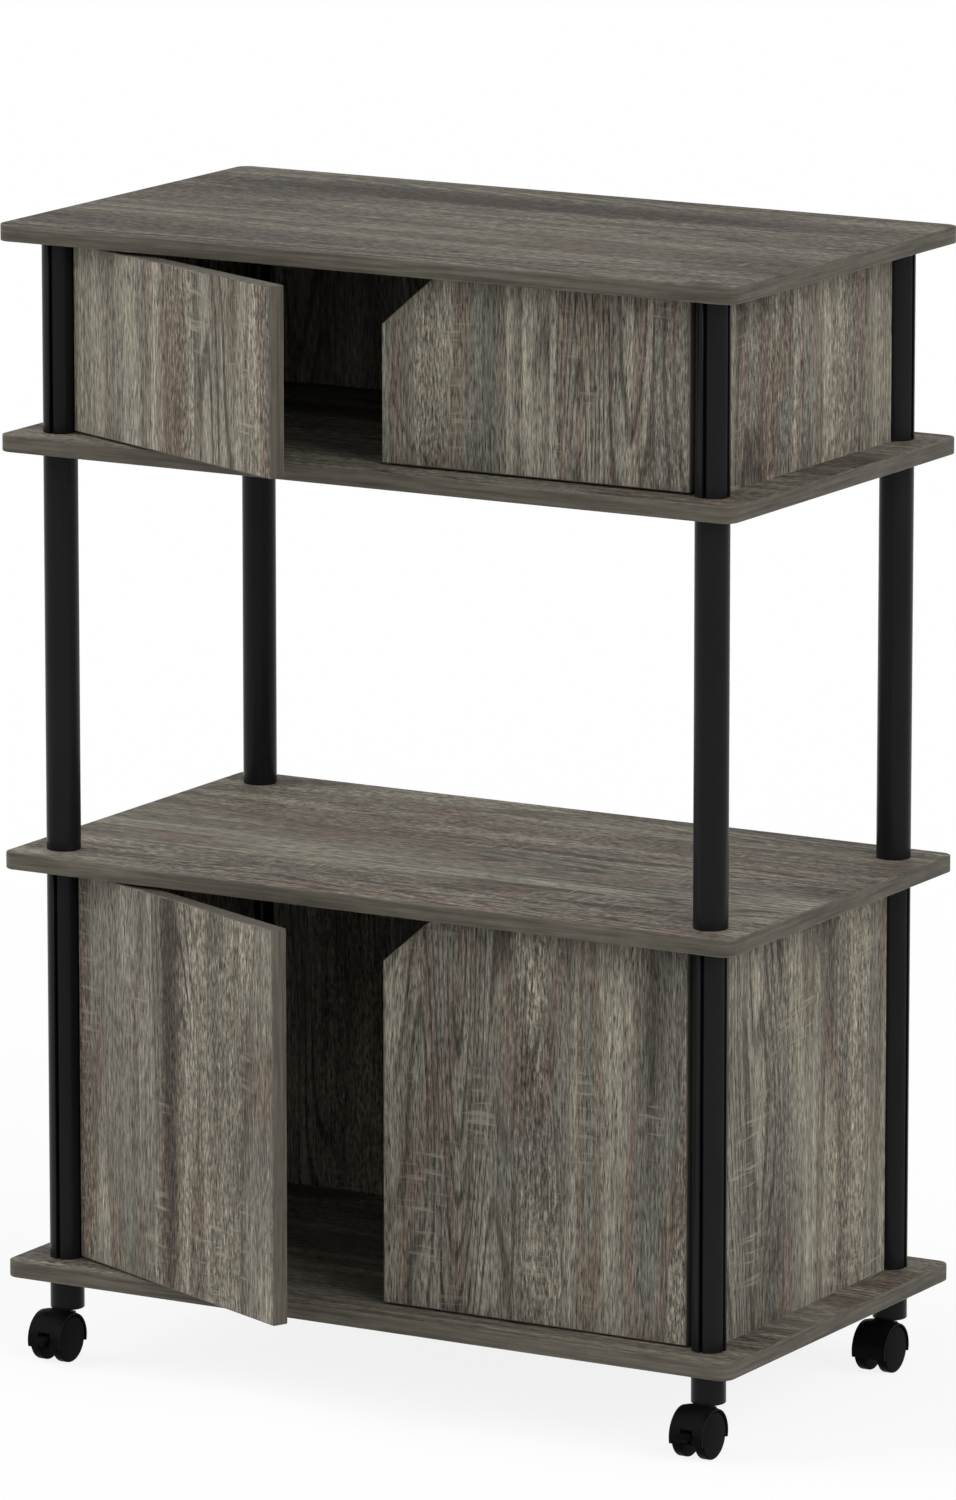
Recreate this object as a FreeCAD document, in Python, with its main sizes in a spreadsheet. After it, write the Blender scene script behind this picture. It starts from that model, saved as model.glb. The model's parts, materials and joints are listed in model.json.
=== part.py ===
"""Kitchen storage cart: four laminate shelves on tube posts, two cabinets with pivoting doors, an open bay
between them, and four twin-wheel casters. Millimetres, +X to the right, -Y to the front, +Z up.
The origin lies on the floor below the middle of the shelves. The left doors stand ajar, the right ones are shut."""
import FreeCAD
import Part
import Sketcher
import os

from FreeCAD import Placement, Rotation, Vector

# Driving dimensions
SIZES = [
    ("CartWidth", 600.0, "shelf width, left to right"),
    ("CartDepth", 340.0, "shelf depth, front to back"),
    ("ShelfThickness", 12.3, "laminated board of the shelves"),
    ("ShelfCornerRadius", 10.0, "rounded corners of the shelves"),
    ("TubeInset", 33.0, "tube axis to the shelf's side and to its front or back"),
    ("TubeDiameter", 25.0, "outside of every tube"),
    ("TubeCore", 11.0, "square core of every tube"),
    ("SlotDepth", 4.5, "lengthwise slot in a cabinet tube"),
    ("SlotCount", 4, "slots round a cabinet tube"),
    ("FootLength", 25.7, "foot tube below the bottom shelf"),
    ("LowerTubeLength", 291.7, "tubes of the lower cabinet"),
    ("BayTubeLength", 293.7, "tubes of the open bay"),
    ("UpperTubeLength", 140.2, "tubes of the upper cabinet"),
    ("PanelThickness", 2.7, "side and back panels"),
    ("PanelSlotClearance", 0.15, "panel face to slot wall"),
    ("PanelEdgeClearance", 0.5, "panel edge to slot floor"),
    ("PanelTopClearance", 0.4, "panel top to the shelf above"),
    ("DowelReach", 12.0, "dowel length inside a tube"),
    ("DowelClearance", 0.05, "dowel to each side of a core"),
    ("TopDowelDepth", 8.0, "blind dowel hole in the top shelf"),
    ("DoorThickness", 12.3, "laminated board of the doors"),
    ("DoorEdgeEase", 0.6, "eased edges of the doors"),
    ("DoorMeetingGap", 9.0, "between the free edges of two shut doors"),
    ("DoorSwingClearance", 0.3, "swinging hinge corner to the tube"),
    ("DoorBaseGap", 1.6, "door edge to the shelf below"),
    ("DoorTopGap", 2.4, "door top to the shelf above"),
    ("LeftDoorAngle", 24.3, "degrees that the left doors stand open"),
    ("FingerCutWidth", 43.0, "slanted corner of a right door, along its top"),
    ("FingerCutHeight", 37.0, "slanted corner of a right door, down its side"),
    ("PinDiameter", 5.0, "door pivot pins"),
    ("PinInset", 9.0, "pin axis to the door's hinge edge"),
    ("PinGrip", 14.0, "pin length inside the door"),
    ("PinShank", 6.0, "square shank of a pin, in the door"),
    ("PinHoleDepth", 6.0, "blind hole in the shelf for a pin"),
    ("PinSeatClearance", 0.3, "pin end to the bottom of its hole"),
    ("PinClearance", 0.05, "pin to its hole, radial"),
    ("WheelDiameter", 34.5, "caster wheel"),
    ("WheelWidth", 7.9, "caster wheel"),
    ("WheelSpacing", 11.0, "between the two wheels of a caster"),
    ("AxleDiameter", 5.0, "caster axle"),
    ("AxleReach", 6.0, "axle length inside each wheel"),
    ("AxleClearance", 0.05, "axle to wheel bore, radial"),
    ("AxleEndClearance", 0.2, "axle end to the bottom of the wheel bore"),
    ("HoodGap", 0.55, "wheel tread to the inside of the hood"),
    ("HoodWall", 1.4, "shell of the hood"),
    ("HoodDrop", 4.5, "front and rear ends of the hood below the axle"),
    ("WebSideGap", 0.6, "middle web of the hood to each wheel"),
    ("WebDrop", 7.0, "lower edge of the web below the axle"),
    ("WebFootWidth", 14.0, "lower edge of the web, front to back"),
    ("CasterTrail", 14.4, "axle ahead of the stem"),
    ("StemDiameter", 6.5, "caster stem"),
    ("StemShank", 4.6, "square shank of the stem, in the hood"),
    ("StemShankClearance", 0.05, "shank to each side of its hole"),
    ("StemGrip", 11.0, "shank length"),
    ("StemReach", 10.5, "stem length inside the socket"),
    ("StemClearance", 0.05, "stem to socket bore, radial"),
    ("StemBossWidth", 8.6, "square boss under the stem"),
    ("StemBossRise", 0.4, "boss top above the shell beside the stem"),
    ("SwivelClearance", 0.6, "hood top to the foot tube"),
    ("SocketDepth", 12.0, "socket length inside the foot tube"),
    ("BrakePivotAhead", 11.0, "brake pivot ahead of the axle"),
    ("BrakePivotRise", 2.5, "brake pivot above the axle"),
    ("BrakePinDiameter", 3.0, "stub pins of the brake lever"),
    ("BrakePinClearance", 0.05, "stub pin to its hole, radial"),
    ("BrakePinLength", 9.0, "over the two stub pins"),
    ("BrakeArmWidth", 6.2, "lever inside the hood"),
    ("BrakeSideGap", 0.2, "lever to each cheek of the web"),
    ("BrakeHeel", 2.4, "lever behind its pivot"),
    ("BrakeBackGap", 0.9, "lever heel to the back of its slot"),
    ("BrakeTopGap", 1.8, "lever to the top of its slot"),
    ("BrakeTabWidth", 9.0, "pedal outside the hood"),
    ("BrakeTabSideGap", 0.5, "pedal to each side of the hood's opening"),
    ("BrakeTabGap", 0.6, "pedal ahead of the hood"),
    ("BrakeTabReach", 5.6, "pedal, front to back"),
    ("BrakeTabThickness", 3.4, "pedal at its root"),
    ("BrakeTabTip", 2.6, "pedal at its tip"),
    ("BrakeTabFall", 2.4, "pedal tip below the pedal root"),
    ("BrakeOpeningTop", 7.0, "hood's front opening above the axle"),
    ("BrakeOpeningDepth", 2.6, "hood's front opening, back from its outside"),
]

# Expressions that follow from the driving dimensions
TUBE_X = "(Sizes.CartWidth / 2 - Sizes.TubeInset)"
TUBE_Y = "(Sizes.CartDepth / 2 - Sizes.TubeInset)"
TUBE_RADIUS = "(Sizes.TubeDiameter / 2)"
SLOT_WIDTH = "(Sizes.PanelThickness + 2 * Sizes.PanelSlotClearance)"
SLOT_FLOOR = f"({TUBE_RADIUS} - Sizes.SlotDepth)"
PANEL_EDGE = f"({SLOT_FLOOR} + Sizes.PanelEdgeClearance)"
AXLE_HEIGHT = "(Sizes.WheelDiameter / 2)"
HOOD_INSIDE = f"({AXLE_HEIGHT} + Sizes.HoodGap)"
HOOD_OUTSIDE = f"({HOOD_INSIDE} + Sizes.HoodWall)"
HOOD_WIDTH = "(Sizes.WheelSpacing + 2 * Sizes.WheelWidth)"
WEB_THICKNESS = "(Sizes.WheelSpacing - 2 * Sizes.WebSideGap)"
STEM_FRONT = "(Sizes.CasterTrail - Sizes.StemDiameter / 2)"
BOSS_HEIGHT = f"(sqrt({HOOD_OUTSIDE} ^ 2 - {STEM_FRONT} ^ 2) + Sizes.StemBossRise)"
FOOT_BASE = f"({AXLE_HEIGHT} + {HOOD_OUTSIDE} + Sizes.SwivelClearance)"
BOTTOM_SHELF = f"({FOOT_BASE} + Sizes.FootLength)"
LOWER_TUBE = f"({BOTTOM_SHELF} + Sizes.ShelfThickness)"
MIDDLE_SHELF = f"({LOWER_TUBE} + Sizes.LowerTubeLength)"
BAY_TUBE = f"({MIDDLE_SHELF} + Sizes.ShelfThickness)"
UPPER_SHELF = f"({BAY_TUBE} + Sizes.BayTubeLength)"
UPPER_TUBE = f"({UPPER_SHELF} + Sizes.ShelfThickness)"
TOP_SHELF = f"({UPPER_TUBE} + Sizes.UpperTubeLength)"
DOOR_CORNER_REACH = "sqrt(Sizes.PinInset ^ 2 + (Sizes.DoorThickness / 2) ^ 2)"
PIVOT_X = f"({TUBE_X} - {TUBE_RADIUS} - Sizes.DoorSwingClearance - {DOOR_CORNER_REACH})"
DOOR_WIDTH = f"({PIVOT_X} + Sizes.PinInset - Sizes.DoorMeetingGap / 2)"
DOOR_GAPS = "(Sizes.DoorBaseGap + Sizes.DoorTopGap)"
DOWEL_WIDTH = "(Sizes.TubeCore - 2 * Sizes.DowelClearance)"

CORNERS = {"fl": (-1, -1), "fr": (1, -1), "rl": (-1, 1), "rr": (1, 1)}

doc = FreeCAD.newDocument("KitchenStorageCart")
sheet = doc.addObject("Spreadsheet::Sheet", "Sizes")
for row, (alias, number, note) in enumerate(SIZES, start=1):
    sheet.set(f"A{row}", alias)
    sheet.set(f"B{row}", str(number))
    sheet.setAlias(f"B{row}", alias)
    sheet.set(f"C{row}", note)
doc.recompute()
nodes = []


def value(expression):
    """The number that an expression of the sheet gives now."""
    return float(doc.getObject("Scratch").evalExpression(str(expression)))


def bind(target, **expressions):
    """Ties properties of an object to expressions; a double underscore stands for a dot in the property's path."""
    for path, expression in expressions.items():
        target.setExpression(path.replace("__", "."), str(expression))


def place(target, x, y, z, angle="0"):
    """Puts an object at x, y, z, turned by an angle in degrees about the upright axis."""
    target.Placement = Placement(Vector(), Rotation(Vector(0, 0, 1), 1))
    bind(target, Placement__Base__x=x, Placement__Base__y=y, Placement__Base__z=z)
    bind(target, Placement__Rotation__Angle=angle)


def keep(target, label):
    """Names a finished sub-part, which is written to a file of that name."""
    target.Label = label
    nodes.append(target)
    return target


def new_body(name):
    return doc.addObject("PartDesign::Body", name)


def new_sketch(body, role, height=None):
    """A sketch on one of the body's own origin planes, or at a height above it."""
    sketch = body.newObject("Sketcher::SketchObject", "Sketch")
    plane = next(item for item in body.Origin.OriginFeatures if item.Role == role)
    sketch.AttachmentSupport = [(plane, "")]
    sketch.MapMode = "FlatFace"
    if height is not None:
        bind(sketch, AttachmentOffset__Base__z=height)
    return sketch


def measure(sketch, kind, references, expression):
    """Adds one driving dimension to a sketch and ties it to an expression."""
    index = sketch.addConstraint(Sketcher.Constraint(kind, *references, value(expression)))
    sketch.setExpression(f"Constraints[{index}]", str(expression))


def add_outline(sketch, points):
    """A closed outline of straight lines through points given as pairs of expressions."""
    first = sketch.GeometryCount
    spots = [Vector(value(x), value(y), 0) for x, y in points]
    for index, spot in enumerate(spots):
        sketch.addGeometry(Part.LineSegment(spot, spots[(index + 1) % len(spots)]))
    for index, (x, y) in enumerate(points):
        line = first + index
        before = first + (index - 1) % len(points)
        sketch.addConstraint(Sketcher.Constraint("Coincident", before, 2, line, 1))
        measure(sketch, "DistanceX", (line, 1), x)
        measure(sketch, "DistanceY", (line, 1), y)


def add_box_outline(sketch, low_x, low_y, high_x, high_y):
    add_outline(sketch, [(low_x, low_y), (high_x, low_y), (high_x, high_y), (low_x, high_y)])


def add_square(sketch, x, y, width):
    """A square outline round a centre, square to the axes."""
    half = f"({width}) / 2"
    add_box_outline(sketch, f"{x} - {half}", f"{y} - {half}", f"{x} + {half}", f"{y} + {half}")


def add_circle(sketch, x, y, diameter):
    centre = Vector(value(x), value(y), 0)
    index = sketch.addGeometry(Part.Circle(centre, Vector(0, 0, 1), value(diameter) / 2))
    measure(sketch, "DistanceX", (index, 3), x)
    measure(sketch, "DistanceY", (index, 3), y)
    measure(sketch, "Diameter", (index,), diameter)


def add_top_arc(sketch, radius, end_height):
    """An arc round the sketch's origin, over the top, with both ends at one height. Returns its index."""
    reach = value(radius)
    height = value(end_height)
    across = (reach ** 2 - height ** 2) ** 0.5
    arc = Part.Arc(Vector(across, height, 0), Vector(0, reach, 0), Vector(-across, height, 0))
    index = sketch.addGeometry(arc)
    sketch.addConstraint(Sketcher.Constraint("Coincident", index, 3, -1, 1))
    measure(sketch, "Radius", (index,), radius)
    measure(sketch, "DistanceY", (index, 1), end_height)
    measure(sketch, "DistanceY", (index, 2), end_height)
    return index


def add_line_between(sketch, first, first_end, second, second_end):
    start = sketch.getPoint(first, first_end)
    end = sketch.getPoint(second, second_end)
    line = sketch.addGeometry(Part.LineSegment(start, end))
    sketch.addConstraint(Sketcher.Constraint("Coincident", line, 1, first, first_end))
    sketch.addConstraint(Sketcher.Constraint("Coincident", line, 2, second, second_end))


def pad(body, sketch, length, side="One side", reverse=False):
    feature = body.newObject("PartDesign::Pad", "Pad")
    feature.Profile = sketch
    feature.SideType = side
    feature.Reversed = reverse
    bind(feature, Length=length)
    doc.recompute()
    return feature


def cut(body, sketch, length=None, side="One side", reverse=False):
    """A pocket of the given length, or right through where there is none; it has to remove material."""
    before = body.Shape.Volume
    feature = body.newObject("PartDesign::Pocket", "Pocket")
    feature.Profile = sketch
    feature.SideType = side
    feature.Reversed = reverse
    if length is None:
        feature.Type = "ThroughAll"
    else:
        bind(feature, Length=length)
    doc.recompute()
    if body.Shape.Volume > before - 1e-3:
        raise RuntimeError(f"a cut in {body.Label} removes nothing")
    return feature


def revolve(body, sketch, axis):
    feature = body.newObject("PartDesign::Revolution", "Revolution")
    feature.Profile = sketch
    feature.ReferenceAxis = (sketch, [axis])
    doc.recompute()
    return feature


def dress(body, kind, base, test, **sizes):
    """A fillet or chamfer on the edges of the base feature that pass the test."""
    edges = [f"Edge{number}" for number, edge in enumerate(base.Shape.Edges, start=1) if test(edge.BoundBox)]
    feature = body.newObject(f"PartDesign::{kind}", kind)
    feature.Base = (base, edges)
    bind(feature, **sizes)
    doc.recompute()
    return feature


def is_upright(box):
    return box.XLength < 1e-6 and box.YLength < 1e-6


def is_along_the_face(box):
    return box.YLength < 1e-6


def make_shelf(label, base, dowel_depth, pins_on_top):
    """A board with rounded corners, four square dowel holes and two blind holes for door pins."""
    body = new_body(label)
    outline = new_sketch(body, "XY_Plane")
    half_width = "Sizes.CartWidth / 2"
    half_depth = "Sizes.CartDepth / 2"
    add_box_outline(outline, f"-{half_width}", f"-{half_depth}", half_width, half_depth)
    board = pad(body, outline, "Sizes.ShelfThickness")
    dress(body, "Fillet", board, is_upright, Radius="Sizes.ShelfCornerRadius")
    dowels = new_sketch(body, "XY_Plane")
    for side, end in CORNERS.values():
        add_square(dowels, f"{side} * {TUBE_X}", f"{end} * {TUBE_Y}", "Sizes.TubeCore")
    cut(body, dowels, dowel_depth, reverse=True)
    pins = new_sketch(body, "XY_Plane", "Sizes.ShelfThickness" if pins_on_top else None)
    for side in (-1, 1):
        add_circle(pins, f"{side} * {PIVOT_X}", f"-{TUBE_Y}", "Sizes.PinDiameter + 2 * Sizes.PinClearance")
    cut(body, pins, "Sizes.PinHoleDepth", reverse=not pins_on_top)
    place(body, "0", "0", base)
    keep(body, label)


def make_tube(name, corner, base, length, slotted):
    """A round tube with a square core on one corner; a cabinet tube also has lengthwise slots for the panels."""
    side, end = CORNERS[corner]
    body = new_body(name)
    section = new_sketch(body, "XY_Plane")
    add_circle(section, "0", "0", "Sizes.TubeDiameter")
    add_square(section, "0", "0", "Sizes.TubeCore")
    pad(body, section, length)
    if slotted:
        slot = new_sketch(body, "XY_Plane")
        add_box_outline(slot, SLOT_FLOOR, f"-{SLOT_WIDTH} / 2", "Sizes.TubeDiameter", f"{SLOT_WIDTH} / 2")
        groove = cut(body, slot, length, reverse=True)
        pattern = body.newObject("PartDesign::PolarPattern", "Slots")
        pattern.Originals = [groove]
        upright = next(item for item in body.Origin.OriginFeatures if item.Role == "Z_Axis")
        pattern.Axis = (upright, [""])
        pattern.Angle = 360
        bind(pattern, Occurrences="Sizes.SlotCount")
        body.Tip = pattern
    place(body, f"{side} * {TUBE_X}", f"{end} * {TUBE_Y}", base)
    return body


def make_group(label, members):
    """Like pieces that share one file."""
    group = doc.addObject("Part::Compound", label)
    group.Links = members
    return keep(group, label)


def make_panel(label, base, height, centre_x, centre_y, span, across):
    """A thin panel that stands on a shelf with two edges in the tube slots."""
    panel = doc.addObject("Part::Box", label)
    length = f"(2 * ({span} - {PANEL_EDGE}))"
    clear_height = f"{height} - Sizes.PanelTopClearance"
    if across:
        bind(panel, Length=length, Width="Sizes.PanelThickness", Height=clear_height)
        place(panel, f"{centre_x} - {length} / 2", f"{centre_y} - Sizes.PanelThickness / 2", base)
    else:
        bind(panel, Length="Sizes.PanelThickness", Width=length, Height=clear_height)
        place(panel, f"{centre_x} - Sizes.PanelThickness / 2", f"{centre_y} - {length} / 2", base)
    keep(panel, label)


def make_door(label, base, opening, side, finger_cut, angle):
    """A door board on two pivot pins. Its own origin is on the pivot axis, at its lower edge."""
    height = f"({opening} - {DOOR_GAPS})"
    hinge_edge = "-Sizes.PinInset"
    free_edge = f"({DOOR_WIDTH} - Sizes.PinInset)"
    body = new_body(label)
    outline = new_sketch(body, "XZ_Plane")
    corner = [(free_edge, height)]
    if finger_cut:
        corner = [
            (free_edge, f"{height} - Sizes.FingerCutHeight"),
            (f"{free_edge} - Sizes.FingerCutWidth", height),
        ]
    add_outline(outline, [(hinge_edge, "0"), (free_edge, "0"), *corner, (hinge_edge, height)])
    board = pad(body, outline, "Sizes.DoorThickness", side="Symmetric")
    dress(body, "Chamfer", board, is_along_the_face, Size="Sizes.DoorEdgeEase")
    for level in (None, height):
        mortise = new_sketch(body, "XY_Plane", level)
        add_square(mortise, "0", "0", "Sizes.PinShank")
        cut(body, mortise, "Sizes.PinGrip", reverse=level is None)
    pivot = (f"{side} * {PIVOT_X}", f"-{TUBE_Y}", f"{base} + Sizes.DoorBaseGap", angle)
    place(body, *pivot)
    keep(body, label)
    lower = make_pin("0", "Sizes.DoorBaseGap", points_up=False)
    upper = make_pin(height, "Sizes.DoorTopGap", points_up=True)
    place(make_group(f"{label}_pins", [lower, upper]), *pivot)


def make_pin(level, gap, points_up):
    """A pivot pin: a square shank driven into the door's edge and a round tip that turns in the shelf."""
    body = new_body("Pin")
    shank = new_sketch(body, "XY_Plane")
    add_square(shank, "0", "0", "Sizes.PinShank")
    pad(body, shank, "Sizes.PinGrip", reverse=points_up)
    tip = new_sketch(body, "XY_Plane")
    add_circle(tip, "0", "0", "Sizes.PinDiameter")
    pad(body, tip, f"{gap} + Sizes.PinHoleDepth - Sizes.PinSeatClearance", reverse=not points_up)
    place(body, "0", "0", level)
    return body


def make_dowels():
    """Square dowels that join the tubes above and below each shelf; the top ones end blind in the top shelf."""
    through = "2 * Sizes.DowelReach + Sizes.ShelfThickness"
    runs = [(shelf, through) for shelf in (BOTTOM_SHELF, MIDDLE_SHELF, UPPER_SHELF)]
    runs.append((TOP_SHELF, "Sizes.DowelReach + Sizes.TopDowelDepth"))
    dowels = []
    for shelf, length in runs:
        for side, end in CORNERS.values():
            dowel = doc.addObject("Part::Box", "Dowel")
            bind(dowel, Length=DOWEL_WIDTH, Width=DOWEL_WIDTH, Height=length)
            x = f"{side} * {TUBE_X} - {DOWEL_WIDTH} / 2"
            y = f"{end} * {TUBE_Y} - {DOWEL_WIDTH} / 2"
            place(dowel, x, y, f"{shelf} - Sizes.DowelReach")
            dowels.append(dowel)
    make_group("tube_dowels", dowels)


def make_socket(corner):
    """A plug in the end of a foot tube, bored for the caster's stem."""
    side, end = CORNERS[corner]
    body = new_body("Socket")
    section = new_sketch(body, "XY_Plane")
    add_square(section, "0", "0", DOWEL_WIDTH)
    add_circle(section, "0", "0", "Sizes.StemDiameter + 2 * Sizes.StemClearance")
    pad(body, section, "Sizes.SocketDepth")
    place(body, f"{side} * {TUBE_X}", f"{end} * {TUBE_Y}", FOOT_BASE)
    return body


def make_hood(label, spot, has_brake):
    """The caster's moulding: a shell over both wheels, a middle web and the stem's boss. Origin on the axle."""
    body = new_body(label)
    shell = new_sketch(body, "YZ_Plane")
    ends = "-Sizes.HoodDrop"
    outer = add_top_arc(shell, HOOD_OUTSIDE, ends)
    inner = add_top_arc(shell, HOOD_INSIDE, ends)
    add_line_between(shell, outer, 1, inner, 1)
    add_line_between(shell, outer, 2, inner, 2)
    pad(body, shell, HOOD_WIDTH, side="Symmetric")
    web = new_sketch(body, "YZ_Plane")
    arc = add_top_arc(web, f"{HOOD_INSIDE} + Sizes.HoodWall / 2", ends)
    half_foot = value("Sizes.WebFootWidth / 2")
    drop = value("-Sizes.WebDrop")
    foot = web.addGeometry(Part.LineSegment(Vector(-half_foot, drop, 0), Vector(half_foot, drop, 0)))
    measure(web, "DistanceX", (foot, 1), "-Sizes.WebFootWidth / 2")
    measure(web, "DistanceX", (foot, 2), "Sizes.WebFootWidth / 2")
    measure(web, "DistanceY", (foot, 1), "-Sizes.WebDrop")
    measure(web, "DistanceY", (foot, 2), "-Sizes.WebDrop")
    add_line_between(web, arc, 2, foot, 1)
    add_line_between(web, arc, 1, foot, 2)
    pad(body, web, WEB_THICKNESS, side="Symmetric")
    boss = new_sketch(body, "XY_Plane", BOSS_HEIGHT)
    add_square(boss, "0", "Sizes.CasterTrail", "Sizes.StemBossWidth")
    pad(body, boss, BOSS_HEIGHT, reverse=True)
    mortise = new_sketch(body, "XY_Plane", BOSS_HEIGHT)
    add_square(mortise, "0", "Sizes.CasterTrail", "Sizes.StemShank + 2 * Sizes.StemShankClearance")
    cut(body, mortise, "Sizes.StemGrip")
    axle = new_sketch(body, "YZ_Plane")
    add_circle(axle, "0", "0", "Sizes.AxleDiameter")
    cut(body, axle, side="Symmetric")
    if has_brake:
        cut_brake_openings(body)
    place(body, *spot)
    keep(body, label)


def cut_brake_openings(body):
    """The front opening for the pedal, the slot for the lever and the holes for its stub pins."""
    pedal = new_sketch(body, "YZ_Plane")
    back = f"-({HOOD_OUTSIDE} - Sizes.BrakeOpeningDepth)"
    below = "-2 * Sizes.WebDrop"
    add_box_outline(pedal, f"-2 * {HOOD_OUTSIDE}", below, back, "Sizes.BrakeOpeningTop")
    cut(body, pedal, "Sizes.BrakeTabWidth + 2 * Sizes.BrakeTabSideGap", side="Symmetric")
    lever = new_sketch(body, "YZ_Plane")
    slot_back = "-(Sizes.BrakePivotAhead - Sizes.BrakeHeel - Sizes.BrakeBackGap)"
    slot_top = "Sizes.BrakePivotRise + Sizes.BrakeTabThickness / 2 + Sizes.BrakeTopGap"
    add_box_outline(lever, f"-{HOOD_OUTSIDE}", below, slot_back, slot_top)
    cut(body, lever, "Sizes.BrakeArmWidth + 2 * Sizes.BrakeSideGap", side="Symmetric")
    holes = new_sketch(body, "YZ_Plane")
    diameter = "Sizes.BrakePinDiameter + 2 * Sizes.BrakePinClearance"
    add_circle(holes, "-Sizes.BrakePivotAhead", "Sizes.BrakePivotRise", diameter)
    cut(body, holes, side="Symmetric")


def make_brake(label, spot):
    """The brake lever: an arm with two stub pins and a pedal that falls towards its tip. Origin on the axle."""
    body = new_body(label)
    heel = "-(Sizes.BrakePivotAhead - Sizes.BrakeHeel)"
    root = f"-({HOOD_OUTSIDE} + Sizes.BrakeTabGap)"
    tip = f"-({HOOD_OUTSIDE} + Sizes.BrakeTabGap + Sizes.BrakeTabReach)"
    upper = "Sizes.BrakePivotRise + Sizes.BrakeTabThickness / 2"
    lower = "Sizes.BrakePivotRise - Sizes.BrakeTabThickness / 2"
    arm = new_sketch(body, "YZ_Plane")
    add_outline(arm, [(heel, lower), (heel, upper), (root, upper), (root, lower)])
    pad(body, arm, "Sizes.BrakeArmWidth", side="Symmetric")
    pedal = new_sketch(body, "YZ_Plane")
    tip_upper = f"{upper} - Sizes.BrakeTabFall"
    tip_lower = f"{upper} - Sizes.BrakeTabFall - Sizes.BrakeTabTip"
    add_outline(pedal, [(root, lower), (root, upper), (tip, tip_upper), (tip, tip_lower)])
    pad(body, pedal, "Sizes.BrakeTabWidth", side="Symmetric")
    stubs = new_sketch(body, "YZ_Plane")
    add_circle(stubs, "-Sizes.BrakePivotAhead", "Sizes.BrakePivotRise", "Sizes.BrakePinDiameter")
    pad(body, stubs, "Sizes.BrakePinLength", side="Symmetric")
    place(body, *spot)
    keep(body, label)


def make_stem(label, x, y):
    """The caster's stem: a square shank in the hood's boss and a round post that turns in the socket."""
    body = new_body(label)
    shank = new_sketch(body, "XY_Plane")
    add_square(shank, "0", "0", "Sizes.StemShank")
    pad(body, shank, "Sizes.StemGrip", reverse=True)
    post = new_sketch(body, "XY_Plane")
    add_circle(post, "0", "0", "Sizes.StemDiameter")
    pad(body, post, f"{FOOT_BASE} - {AXLE_HEIGHT} - {BOSS_HEIGHT} + Sizes.StemReach")
    place(body, x, y, f"{AXLE_HEIGHT} + {BOSS_HEIGHT}")
    keep(body, label)


def make_axle(label, spot):
    """The caster's axle, from inside one wheel to inside the other."""
    axle = new_body(label)
    section = new_sketch(axle, "YZ_Plane")
    add_circle(section, "0", "0", "Sizes.AxleDiameter")
    pad(axle, section, "Sizes.WheelSpacing + 2 * Sizes.AxleReach", side="Symmetric")
    place(axle, *spot)
    keep(axle, label)


def make_wheel(label, spot, side):
    """A wheel with a blind bore for the axle. Its own origin is at the middle of the axle."""
    body = new_body(label)
    profile = new_sketch(body, "XZ_Plane")
    inside = "Sizes.WheelSpacing / 2"
    outside = f"{inside} + Sizes.WheelWidth"
    radius = "Sizes.WheelDiameter / 2"
    bore = "Sizes.AxleDiameter / 2 + Sizes.AxleClearance"
    bore_end = f"{inside} + Sizes.AxleReach + Sizes.AxleEndClearance"
    points = [
        (bore_end, "0"),
        (bore_end, bore),
        (inside, bore),
        (inside, radius),
        (outside, radius),
        (outside, "0"),
    ]
    add_outline(profile, points)
    revolve(body, profile, "H_Axis")
    place(body, *spot, angle="0" if side > 0 else "180")
    keep(body, label)


def make_caster(corner):
    """One twin-wheel caster; the front ones have a brake."""
    side, end = CORNERS[corner]
    x = f"{side} * {TUBE_X}"
    y = f"{end} * {TUBE_Y}"
    spot = (x, f"{y} - Sizes.CasterTrail", AXLE_HEIGHT)
    has_brake = corner.startswith("f")
    make_hood(f"caster_{corner}_hood", spot, has_brake)
    make_stem(f"caster_{corner}_stem", x, y)
    make_axle(f"caster_{corner}_axle", spot)
    make_wheel(f"caster_{corner}_wheel_left", spot, -1)
    make_wheel(f"caster_{corner}_wheel_right", spot, 1)
    if has_brake:
        make_brake(f"caster_{corner}_brake", spot)


def make_cabinet(level, base, opening):
    """Side panels, back panel and two doors of one cabinet."""
    make_panel(f"{level}_side_panel_left", base, opening, f"-{TUBE_X}", "0", TUBE_Y, across=False)
    make_panel(f"{level}_side_panel_right", base, opening, TUBE_X, "0", TUBE_Y, across=False)
    make_panel(f"{level}_back_panel", base, opening, "0", TUBE_Y, TUBE_X, across=True)
    make_door(f"{level}_door_left", base, opening, -1, False, "-Sizes.LeftDoorAngle")
    make_door(f"{level}_door_right", base, opening, 1, True, "180")


def write_parts():
    """Checks every object and every sub-part's shape, then writes one file per sub-part."""
    doc.recompute()
    for item in doc.Objects:
        if "Invalid" in item.State or "Error" in item.State:
            raise RuntimeError(f"{item.Label} failed: {item.State}")
    for node in nodes:
        if node.Shape.isNull() or not node.Shape.isValid() or not node.Shape.Solids:
            raise RuntimeError(f"{node.Label} has no valid shape")
    os.makedirs("parts", exist_ok=True)
    for node in nodes:
        node.Shape.exportStep(f"parts/{node.Label}.step")
    print(f"{len(nodes)} sub-parts written")


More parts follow.
